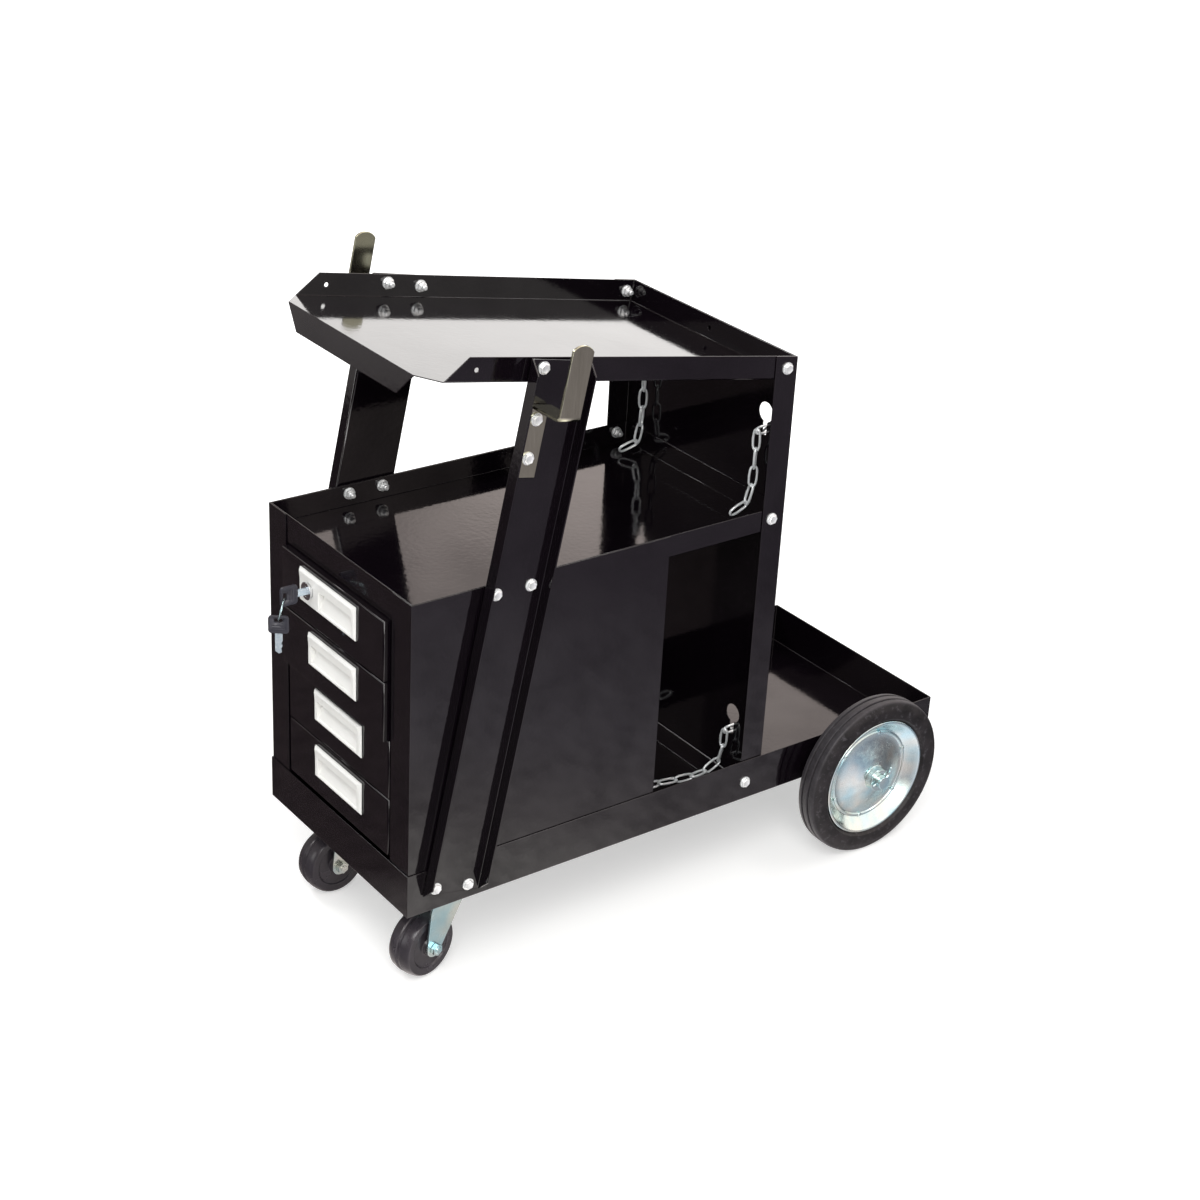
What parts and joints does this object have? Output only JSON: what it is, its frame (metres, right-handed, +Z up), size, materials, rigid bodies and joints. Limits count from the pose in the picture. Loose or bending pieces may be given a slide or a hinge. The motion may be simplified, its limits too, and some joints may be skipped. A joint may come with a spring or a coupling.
{
  "type": "welding cart",
  "caption": "Wheeled welding cart of folded steel: lockable drawer cabinet, shelf, sloping top tray, cable hooks and a chained bottle platform.",
  "frame": {"origin": "centre of the overall box on the ground plane", "axes": "+Z up, drawers face -Y, +X to the viewer's right when facing the drawers"},
  "size_m": [0.4052, 0.8064, 0.7402],
  "materials": {
    "black_enamel": "mirror-gloss black enamel with faint orange peel",
    "hook_steel": "dull olive-grey plated flat bar with bright edges",
    "ivory_plastic": "satin moulded ivory plastic",
    "zinc_plate": "bright bluish zinc plating",
    "chrome_lock": "polished chrome",
    "key_plastic": "dark slate moulded head over a steel blade",
    "tyre_rubber": "matt black ribbed rubber",
    "caster_rubber": "satin black rubber",
    "chain_zinc": "bright zinc-plated welded chain"
  },
  "bodies": {
    "cart": {"base_tray": "black_enamel", "cabinet_shell": "black_enamel", "shelf_tray": "black_enamel", "rear_panel": "black_enamel", "left_strut": "black_enamel", "right_strut": "black_enamel", "top_tray": "black_enamel", "left_cable_hook": "hook_steel", "right_cable_hook": "hook_steel", "left_runner_1": "zinc_plate", "right_runner_1": "zinc_plate", "left_runner_2": "zinc_plate", "right_runner_2": "zinc_plate", "left_runner_3": "zinc_plate", "right_runner_3": "zinc_plate", "left_runner_4": "zinc_plate", "right_runner_4": "zinc_plate", "lock_catch": "zinc_plate", "upper_chain": "chain_zinc", "lower_chain": "chain_zinc", "axle": "zinc_plate", "left_axle_bracket": "black_enamel", "right_axle_bracket": "black_enamel", "left_axle_washer": "zinc_plate", "right_axle_washer": "zinc_plate", "left_split_pin": "zinc_plate", "right_split_pin": "zinc_plate", "left_caster_mount": "zinc_plate", "right_caster_mount": "zinc_plate"},
    "drawer_1": {"drawer_1_box": "black_enamel", "drawer_1_front": "black_enamel", "drawer_1_pull": "ivory_plastic", "lock_housing": "chrome_lock"},
    "drawer_2": {"drawer_2_box": "black_enamel", "drawer_2_front": "black_enamel", "drawer_2_pull": "ivory_plastic"},
    "drawer_3": {"drawer_3_box": "black_enamel", "drawer_3_front": "black_enamel", "drawer_3_pull": "ivory_plastic"},
    "drawer_4": {"drawer_4_box": "black_enamel", "drawer_4_front": "black_enamel", "drawer_4_pull": "ivory_plastic"},
    "lock": {"lock_plug": "chrome_lock", "lock_key": "key_plastic"},
    "key_bunch": {"key_ring": "zinc_plate", "spare_key": "key_plastic"},
    "left_wheel": {"left_tyre": "tyre_rubber", "left_rim": "zinc_plate"},
    "left_caster": {"left_caster_fork": "zinc_plate", "left_caster_axle": "zinc_plate"},
    "left_caster_roller": {"left_caster_wheel": "caster_rubber"},
    "right_wheel": {"right_tyre": "tyre_rubber", "right_rim": "zinc_plate"},
    "right_caster": {"right_caster_fork": "zinc_plate", "right_caster_axle": "zinc_plate"},
    "right_caster_roller": {"right_caster_wheel": "caster_rubber"}
  },
  "joints": [
    {"name": "drawer_1_slide", "type": "slide", "parent": "cart", "child": "drawer_1", "axis": [0, -1, 0], "range_m": [-0.007, 0.203]},
    {"name": "drawer_2_slide", "type": "slide", "parent": "cart", "child": "drawer_2", "axis": [0, -1, 0], "range_m": [-0.007, 0.203]},
    {"name": "drawer_3_slide", "type": "slide", "parent": "cart", "child": "drawer_3", "axis": [0, -1, 0], "range_m": [0, 0.21]},
    {"name": "drawer_4_slide", "type": "slide", "parent": "cart", "child": "drawer_4", "axis": [0, -1, 0], "range_m": [0, 0.21]},
    {"name": "lock_turn", "type": "hinge", "parent": "drawer_1", "child": "lock", "pos_m": [-0.0415, -0.3543, 0.41834], "axis": [0, -1, 0], "range_deg": [0, 90]},
    {"name": "key_ring_swing", "type": "hinge", "parent": "lock", "child": "key_bunch", "pos_m": [-0.0415, -0.3861, 0.41594], "axis": [1, 0, 0], "range_deg": [-75, 20]},
    {"name": "left_wheel_spin", "type": "hinge", "parent": "cart", "child": "left_wheel", "pos_m": [-0.1665, 0.2882, 0.1], "axis": [1, 0, 0], "continuous": true},
    {"name": "right_wheel_spin", "type": "hinge", "parent": "cart", "child": "right_wheel", "pos_m": [0.1665, 0.2882, 0.1], "axis": [1, 0, 0], "continuous": true},
    {"name": "left_caster_swivel", "type": "hinge", "parent": "cart", "child": "left_caster", "pos_m": [-0.094, -0.2748, 0.1], "axis": [0, 0, 1], "continuous": true},
    {"name": "left_caster_roll", "type": "hinge", "parent": "left_caster", "child": "left_caster_roller", "pos_m": [-0.09253, -0.30276, 0.0378], "axis": [0.9986, 0.0523, 0], "continuous": true},
    {"name": "right_caster_swivel", "type": "hinge", "parent": "cart", "child": "right_caster", "pos_m": [0.094, -0.2748, 0.1], "axis": [0, 0, 1], "continuous": true},
    {"name": "right_caster_roll", "type": "hinge", "parent": "right_caster", "child": "right_caster_roller", "pos_m": [0.10077, -0.30197, 0.0378], "axis": [0.9703, 0.2419, 0], "continuous": true}
  ]
}
